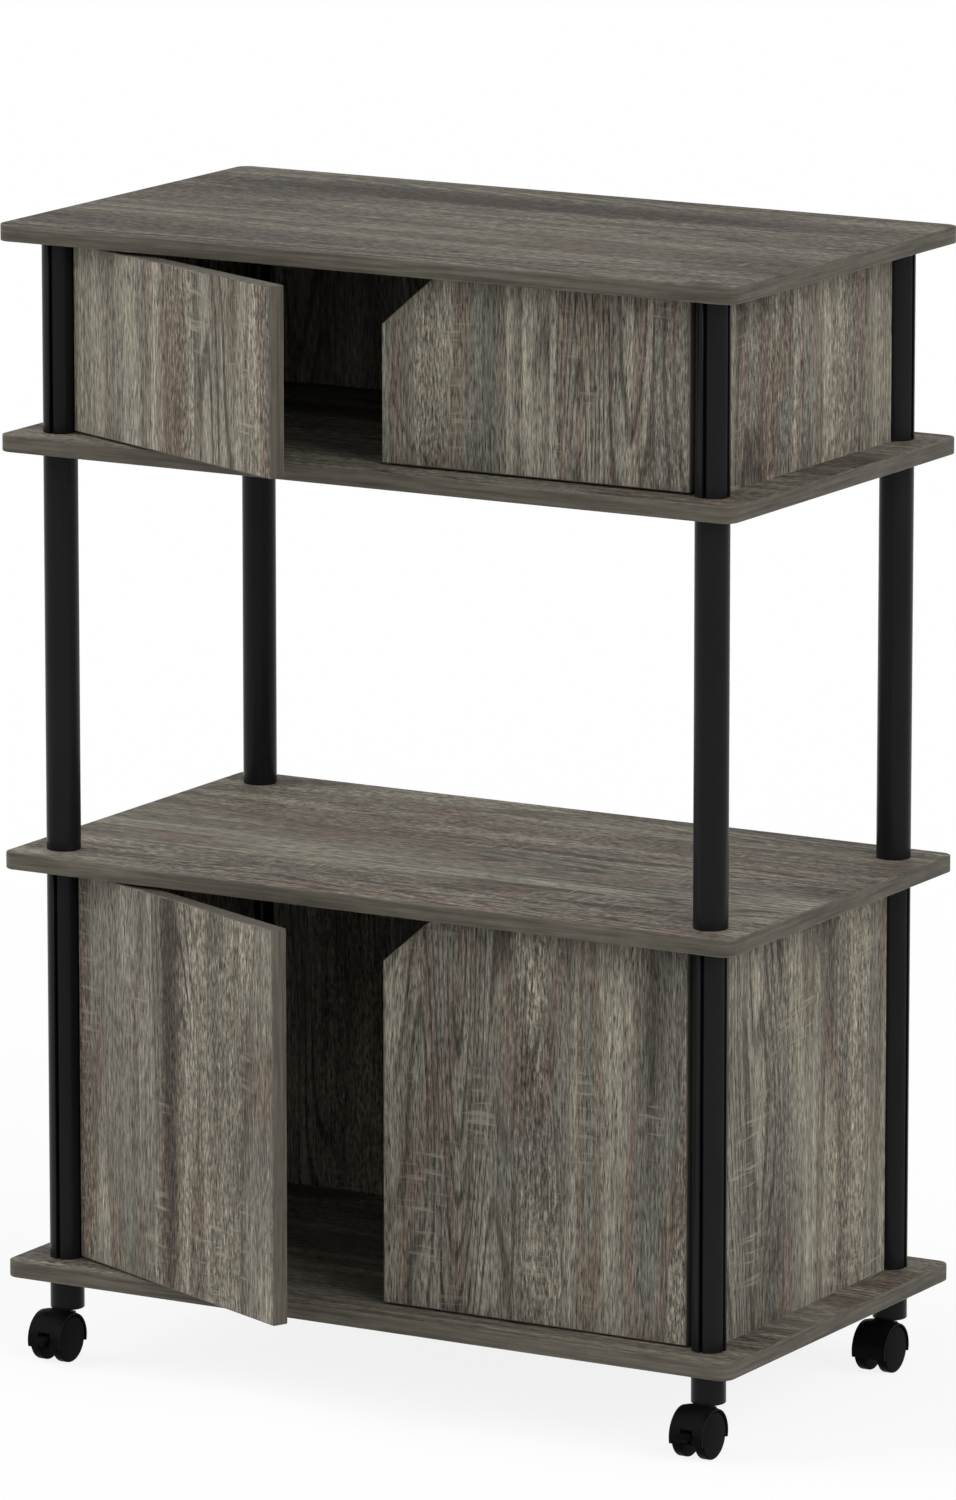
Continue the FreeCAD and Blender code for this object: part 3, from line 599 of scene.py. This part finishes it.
def put_piece(name, vertices, faces, materials, body, replaced=None, shades=None):
    """Makes a mesh object from arrays, merges doubled points, and puts it on a CAD body, in place of a CAD
    node where one is named. Shades say which material each face has; faces of shade 0 are then flat."""
    mesh = bpy.data.meshes.new(name)
    mesh.from_pydata(vertices.tolist(), [], faces if isinstance(faces, list) else faces.tolist())
    for material in materials:
        mesh.materials.append(material)
    if shades is not None:
        mesh.polygons.foreach_set("material_index", shades.astype(np.int32))
    work = bmesh.new()
    work.from_mesh(mesh)
    bmesh.ops.remove_doubles(work, verts=work.verts, dist=DOUBLED)
    work.to_mesh(mesh)
    work.free()
    mesh.set_sharp_from_angle(angle=SHARP_TURN)
    if shades is not None:
        mesh.polygons.foreach_set("use_smooth", shades > 0)
    mesh.update()
    if mesh.validate():
        raise RuntimeError(f"{name} has faulty faces")
    piece = bpy.data.objects.new(name, mesh)
    bpy.context.scene.collection.objects.link(piece)
    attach(piece, body)
    if replaced:
        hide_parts(replaced)


def dress_node(node, material):
    """Gives a CAD node one material in each of its slots."""
    for slot in frame["nodes"][node].material_slots:
        slot.material = material


def joint_named(name):
    """One joint of the frame."""
    return next(joint for joint in frame["joints"] if joint["name"] == name)


def joint_place(name):
    """A point on a joint's axis."""
    return np.array(joint_named(name)["pos_m"])


def span(node):
    """Lowest and highest corner of a CAD node's box."""
    low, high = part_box(node)
    return np.array(low), np.array(high)


class CART_OT_shelves(bpy.types.Operator):
    """Make the four shelves: oak faces with the grain along the width, and plain edge bands"""

    bl_idname = "cart.shelves"
    bl_label = "Shelves"

    def execute(self, context):
        boards = context.scene.cart_boards
        band = edge_banding("shelf_edge_band", boards)
        worn = edge_banding("shelf_worn_edge", boards, wear=EDGE_WEAR)
        for number, level in enumerate(SHELF_TONES_AND_PAINTED_LIGHT):
            node = f"shelf_{level}"
            low, high = span(node)
            outline = eased_corners(rectangle(low[:2], high[:2]), boards.shelf_corner, SHELF_CORNER_STEPS)
            vertices, faces, shades = board_surface(*outline, low[2], high[2], boards.edge_ease)
            start = cut_start(SHELF_CUT, number)
            # The middle shelf's tone is painted light and the top shelf's is painted shade
            oak = oak_laminate(f"oak_{node}", boards, WIDTHWISE, start, SHELF_TONES_AND_PAINTED_LIGHT[level])
            put_piece(f"{node}_board", vertices, faces, [oak, band, worn], "cart", node, shades)
        return {"FINISHED"}


class CART_OT_doors(bpy.types.Operator):
    """Make the four doors: oak faces with upright grain; the right ones have the slanted finger cut"""

    bl_idname = "cart.doors"
    bl_label = "Doors"

    def execute(self, context):
        boards = context.scene.cart_boards
        band = edge_banding("door_edge_band", boards, upright=True)
        worn = edge_banding("door_worn_edge", boards, upright=True, wear=EDGE_WEAR)
        across, down = boards.finger_cut
        for number, level in enumerate(LEVELS):
            low, high = span(f"{level}_door_right")
            plain = rectangle(low[::2], high[::2])
            cut = [*plain[:3], (low[0] + across, high[2]), (low[0], high[2] - down)]
            for place, (side, corners) in enumerate((("right", cut), ("left", plain))):
                outline = eased_corners(corners, DOOR_CORNER, DOOR_CORNER_STEPS)
                flat, faces, shades = board_surface(*outline, -high[1], -low[1], boards.edge_ease)
                vertices = np.stack([flat[:, 0], -flat[:, 2], flat[:, 1]], 1)
                if side == "left":
                    vertices = self.opened(vertices, level)
                node = f"{level}_door_{side}"
                start = cut_start(DOOR_CUT, number, place)
                oak = oak_laminate(f"oak_{node}", boards, UPRIGHT, start, DOOR_TONES[level])
                put_piece(f"{node}_board", vertices, faces, [oak, band, worn],
                          f"{level}_{side}_door", node, shades)
        return {"FINISHED"}

    def opened(self, vertices, level):
        """A shut right door given half a turn round its pivot, set on the left pivot and swung out to rest.
        Rest is as far from shut as the hinge can turn back."""
        local = joint_place(f"{level}_right_door_hinge")[:2] - vertices[:, :2]
        hinge = f"{level}_left_door_hinge"
        pivot = joint_place(hinge)
        angle = math.radians(min(joint_named(hinge)["range_deg"]))
        cosine, sine = math.cos(angle), math.sin(angle)
        x = pivot[0] + cosine * local[:, 0] - sine * local[:, 1]
        y = pivot[1] + sine * local[:, 0] + cosine * local[:, 1]
        return np.stack([x, y, vertices[:, 2]], 1)


class CART_OT_panels(bpy.types.Operator):
    """Give the side and back panels oak with upright grain"""

    bl_idname = "cart.panels"
    bl_label = "Panels"

    def execute(self, context):
        boards = context.scene.cart_boards
        for number, level in enumerate(LEVELS):
            for place, panel in enumerate(PANELS):
                node = f"{level}_{panel}"
                start = cut_start(PANEL_CUT, number, place)
                dress_node(node, oak_laminate(f"oak_{node}", boards, UPRIGHT, start, PANEL_TONES[level]))
        return {"FINISHED"}


class CART_OT_tubes(bpy.types.Operator):
    """Make the slotted cabinet tubes, the plain bay tubes and the foot tubes, and colour their dowels"""

    bl_idname = "cart.tubes"
    bl_label = "Tubes"

    def execute(self, context):
        tubes = context.scene.cart_tubes
        black = satin_plastic("tube_satin_black", tubes.black, rough=0.27, gloss=0.09,
                              grain_size=0.0006, grain_depth=0.00001, drawn=True)
        foot_base, foot_top = span("foot_tubes")
        feet, feet_faces = [], []
        for number, corner in enumerate(CORNERS):
            low, high = span(f"bay_tube_{corner}")
            axis = [*(low + high)[:2] / 2, 0]
            radius = (high - low)[0] / 2
            plain = round_section(radius)
            slotted = slotted_section(radius, tubes.slot_width, tubes.slot_floor)
            for level, section in (("lower", slotted), ("bay", plain), ("upper", slotted)):
                node = f"{level}_tube_{corner}"
                base, top = span(node)
                vertices, faces = tube_surface(section, tubes.core, base[2], top[2], tubes.end_ease)
                put_piece(f"{node}_skin", vertices + axis, faces, [black], "cart", node)
            vertices, faces = tube_surface(plain, tubes.core, foot_base[2], foot_top[2], tubes.end_ease)
            feet.append(vertices + axis)
            feet_faces.append(faces + number * len(vertices))
        put_piece("foot_tubes_skin", np.concatenate(feet), np.concatenate(feet_faces), [black],
                  "cart", "foot_tubes")
        dowels = satin_plastic("dowel_plastic", DOWEL_GREY, rough=0.55, gloss=0.2,
                               grain_size=0.0008, grain_depth=0.00003)
        dress_node("tube_dowels", dowels)
        return {"FINISHED"}


# The crown of a hood: where its swell starts and is full, forward of the hood's top
CROWN_FRONT, CROWN_FULL = math.radians(50), math.radians(14)
CROWN_DIP = 0.1  # part of its depth by which the crown's rim dips into the hood


class CART_OT_casters(bpy.types.Operator):
    """Make the domed wheels and the crowns of the hoods, and colour hoods, brake levers and sockets"""

    bl_idname = "cart.casters"
    bl_label = "Casters"

    def execute(self, context):
        casters = context.scene.cart_casters
        moulded = satin_plastic("caster_moulded_black", casters.black, rough=0.40, gloss=0.025,
                                grain_size=0.0005, grain_depth=0.00003)
        tread = satin_plastic("wheel_black", casters.tread, rough=0.36, gloss=0.013,
                              grain_size=0.0004, grain_depth=0.00002)
        dress_node("caster_sockets", moulded)
        for corner in CORNERS:
            caster = f"caster_{corner}"
            dress_node(f"{caster}_hood", moulded)
            if f"{caster}_brake" in frame["nodes"]:
                dress_node(f"{caster}_brake", moulded)
            self.crown(casters, caster, moulded)
            for side in SIDES:
                self.wheel(casters, caster, side, tread)
        return {"FINISHED"}

    def crown(self, casters, caster, material):
        """The crown of the hood. On the hood's cylinder round the axle, its swell is one less the fourth
        power of the place across the width, times a smooth step that rises from the front. Its rear end
        follows a circle round the stem that clears the tube, and its underside lies in the hood's wall."""
        swell, clear, sunk = casters.crown
        low, high = span(f"{caster}_hood")
        axle = joint_place(f"{caster}_left_wheel_spin")
        stem = joint_place(f"{caster}_swivel")
        radius = high[2] - axle[2]
        place = np.linspace(-1, 1, CROWN_ROWS)[:, None]
        x = place * ((high[0] - low[0]) / 2 - sunk)
        rear = -np.arcsin((stem[1] - axle[1] - np.sqrt(np.maximum(clear ** 2 - x ** 2, 0))) / radius)
        angle = CROWN_FRONT + (rear - CROWN_FRONT) * np.linspace(0, 1, CROWN_COLUMNS)[None]
        step = np.clip((CROWN_FRONT - angle) / (CROWN_FRONT - CROWN_FULL), 0, 1)
        over = radius + swell * (1 - place ** 4) * step ** 2 * (3 - 2 * step) - sunk * CROWN_DIP
        under = np.full_like(angle, radius - sunk)
        reach = np.concatenate([over, under[:, ::-1]], 1)
        bearing = np.concatenate([angle, angle[:, ::-1]], 1)
        width = np.broadcast_to(stem[0] + x, reach.shape)
        grid = np.stack([width, axle[1] - reach * np.sin(bearing), axle[2] + reach * np.cos(bearing)], 2)
        rows, columns = reach.shape
        ends = [np.arange(columns), np.arange(columns)[::-1] + (rows - 1) * columns]
        faces = [*grid_faces(rows, columns)[:, ::-1].tolist(), *(end.tolist() for end in ends)]
        put_piece(f"{caster}_crown", grid.reshape(-1, 3), faces, [material], caster)

    def wheel(self, casters, caster, side, material):
        """One wheel: its profile runs from the axis over a face that falls off with the square of the
        radius, round the tread's two edges and into the blind hole for the axle."""
        node = f"{caster}_wheel_{side}"
        low, high = span(node)
        width = high[0] - low[0]
        radius = (high - low)[2] / 2
        outer, inner = casters.outer_ease, casters.inner_ease
        reach = np.linspace(0, 1, FACE_STEPS)
        face = np.stack([width - casters.dome * reach ** 2, (radius - outer) * reach], 1)
        turn = np.linspace(0, math.pi / 2, BROW_STEPS)[1:]
        brow_x = width - casters.dome - outer * (1 - np.cos(turn))
        brow = np.stack([brow_x, radius - outer * (1 - np.sin(turn))], 1)
        turn = np.linspace(0, math.pi / 2, HEEL_STEPS)
        heel = np.stack([inner * (1 - np.sin(turn)), radius - inner * (1 - np.cos(turn))], 1)
        hole, depth = casters.axle_hole
        profile = np.concatenate([face, brow, heel, [(0, hole), (depth, hole), (depth, 0)]])
        if side == "left":
            profile = np.stack([width - profile[:, 0], profile[:, 1]], 1)[::-1]
        vertices, faces = turned_surface(profile, WHEEL_COLUMNS)
        centre = (low + high) / 2
        put_piece(f"{node}_skin", vertices + [low[0], centre[1], centre[2]], faces[:, ::-1], [material],
                  f"{caster}_{side}_wheel", node)


class CART_OT_hardware(bpy.types.Operator):
    """Give the door pins, caster stems and axles turned steel"""

    bl_idname = "cart.hardware"
    bl_label = "Pins, stems and axles"

    def execute(self, context):
        casters = context.scene.cart_casters
        steel = turned_steel("turned_steel", casters.steel)
        dark_steel = turned_steel("blackened_steel", casters.pins)
        for level in LEVELS:
            for side in SIDES:
                dress_node(f"{level}_door_{side}_pins", dark_steel)
        for corner in CORNERS:
            # The stems take the dark pin steel as painted shade, so that the gap between hood and tube stays
            # dark; plated steel would show paler there
            dress_node(f"caster_{corner}_stem", dark_steel)
            dress_node(f"caster_{corner}_axle", steel)
        return {"FINISHED"}


# Lamps: turn about each axis and spread, in degrees
LAMPS = {
    "key": ((62, 0, 75), 50),
    "fill": ((62, 0, -65), 50),
    "front": ((72, 0, 14), 60),
}

SENSOR = 36  # the camera's long side, in millimetres
CLIP_END = 200  # how far the camera sees, in metres
FLOOR_REACH = 90  # from the floor's middle to its edges, in metres
FLOOR_PAINT = (0.78, 0.78, 0.775, 1)
FLOOR_WHITE = 1.07  # strength of the floor's plain white


class CART_OT_stage(bpy.types.Operator):
    """Set up the pale floor, the room light, three soft lamps and the camera"""

    bl_idname = "cart.stage"
    bl_label = "Stage"

    def execute(self, context):
        stage = context.scene.cart_stage
        self.room(context.scene, stage)
        self.floor(context.scene, stage)
        for name, (turn, spread) in LAMPS.items():
            self.lamp(context.scene, f"{name}_lamp", getattr(stage, name), turn, spread)
        camera = bpy.data.objects.new("camera", bpy.data.cameras.new("camera"))
        camera.location = stage.camera_place
        camera.rotation_euler = (math.pi / 2 - stage.camera_pitch, 0, stage.camera_turn)
        camera.data.sensor_width = SENSOR
        camera.data.lens = stage.lens
        camera.data.clip_end = CLIP_END
        context.scene.collection.objects.link(camera)
        context.scene.camera = camera
        context.scene.view_settings.view_transform = "Standard"
        return {"FINISHED"}

    def seen(self, tree):
        """1 for rays that the camera, a reflection or a clear surface sends, else 0."""
        rays = add_node(tree, "ShaderNodeLightPath")
        seen = maths(tree, "MAXIMUM", rays.outputs["Is Camera Ray"], rays.outputs["Is Glossy Ray"])
        return maths(tree, "MAXIMUM", seen, rays.outputs["Is Transmission Ray"])

    def room(self, scene, stage):
        """A world that looks plain white and lights the cart evenly and more weakly."""
        world = bpy.data.worlds.new("room")
        world.use_nodes = True
        tree = world.node_tree
        background = next(node for node in tree.nodes if node.type == "BACKGROUND")
        background.inputs["Color"].default_value = (1, 1, 1, 1)
        lift = maths(tree, "MULTIPLY", self.seen(tree), 1 - stage.sky)
        tree.links.new(maths(tree, "ADD", lift, stage.sky), background.inputs["Strength"])
        scene.world = world

    def floor(self, scene, stage):
        """A wide square: paint that takes shadows, mixed with plain white where it is looked at."""
        mesh = bpy.data.meshes.new("floor")
        flat = rectangle((-FLOOR_REACH, -FLOOR_REACH), (FLOOR_REACH, FLOOR_REACH))
        mesh.from_pydata([(x, y, 0) for x, y in flat], [], [(0, 1, 2, 3)])
        material = bpy.data.materials.new("floor_white")
        material.use_nodes = True
        tree = material.node_tree
        tree.nodes.remove(next(node for node in tree.nodes if node.type == "BSDF_PRINCIPLED"))
        output = next(node for node in tree.nodes if node.type == "OUTPUT_MATERIAL")
        paint = add_node(tree, "ShaderNodeBsdfDiffuse", Color=FLOOR_PAINT)
        white = add_node(tree, "ShaderNodeEmission", Strength=FLOOR_WHITE)
        blend = add_node(tree, "ShaderNodeMixShader")
        tree.links.new(maths(tree, "MULTIPLY", self.seen(tree), stage.floor_glow), blend.inputs["Fac"])
        tree.links.new(paint.outputs["BSDF"], blend.inputs[1])
        tree.links.new(white.outputs["Emission"], blend.inputs[2])
        tree.links.new(blend.outputs["Shader"], output.inputs["Surface"])
        mesh.materials.append(material)
        floor = bpy.data.objects.new("floor", mesh)
        scene.collection.objects.link(floor)

    def lamp(self, scene, name, strength, turn, spread):
        """A very wide sun, so that its light is even over the whole floor and its shadows are soft."""
        lamp = bpy.data.lights.new(name, "SUN")
        lamp.energy = strength
        lamp.angle = math.radians(spread)
        place = bpy.data.objects.new(name, lamp)
        place.rotation_euler = tuple(math.radians(part) for part in turn)
        scene.collection.objects.link(place)


class CART_PT_panel(bpy.types.Panel):
    """Lists the cart's pieces in the sidebar"""

    bl_label = "Kitchen storage cart"
    bl_idname = "CART_PT_panel"
    bl_space_type = "VIEW_3D"
    bl_region_type = "UI"
    bl_category = "Cart"

    def draw(self, context):
        for operator in OPERATORS:
            self.layout.operator(operator.bl_idname)
        for name in GROUPS:
            group = getattr(context.scene, name)
            box = self.layout.box()
            for key in group.bl_rna.properties.keys():
                if key not in ("rna_type", "name"):
                    box.prop(group, key)


OPERATORS = (
    CART_OT_shelves, CART_OT_doors, CART_OT_panels, CART_OT_tubes, CART_OT_casters, CART_OT_hardware,
    CART_OT_stage,
)
GROUPS = {
    "cart_boards": CartBoards,
    "cart_tubes": CartTubes,
    "cart_casters": CartCasters,
    "cart_stage": CartStage,
}


def register():
    """Registers the groups of settings on the scene, then the operators and the panel."""
    for name, group in GROUPS.items():
        bpy.utils.register_class(group)
        setattr(bpy.types.Scene, name, bpy.props.PointerProperty(type=group))
    for operator in OPERATORS:
        bpy.utils.register_class(operator)
    bpy.utils.register_class(CART_PT_panel)


def unregister():
    """Takes all of that away again, in the opposite order."""
    bpy.utils.unregister_class(CART_PT_panel)
    for operator in reversed(OPERATORS):
        bpy.utils.unregister_class(operator)
    for name, group in reversed(list(GROUPS.items())):
        delattr(bpy.types.Scene, name)
        bpy.utils.unregister_class(group)


def main():
    register()
    bpy.ops.cart.shelves()
    bpy.ops.cart.doors()
    bpy.ops.cart.panels()
    bpy.ops.cart.tubes()
    bpy.ops.cart.casters()
    bpy.ops.cart.hardware()
    bpy.ops.cart.stage()


if __name__ == "__main__":
    main()
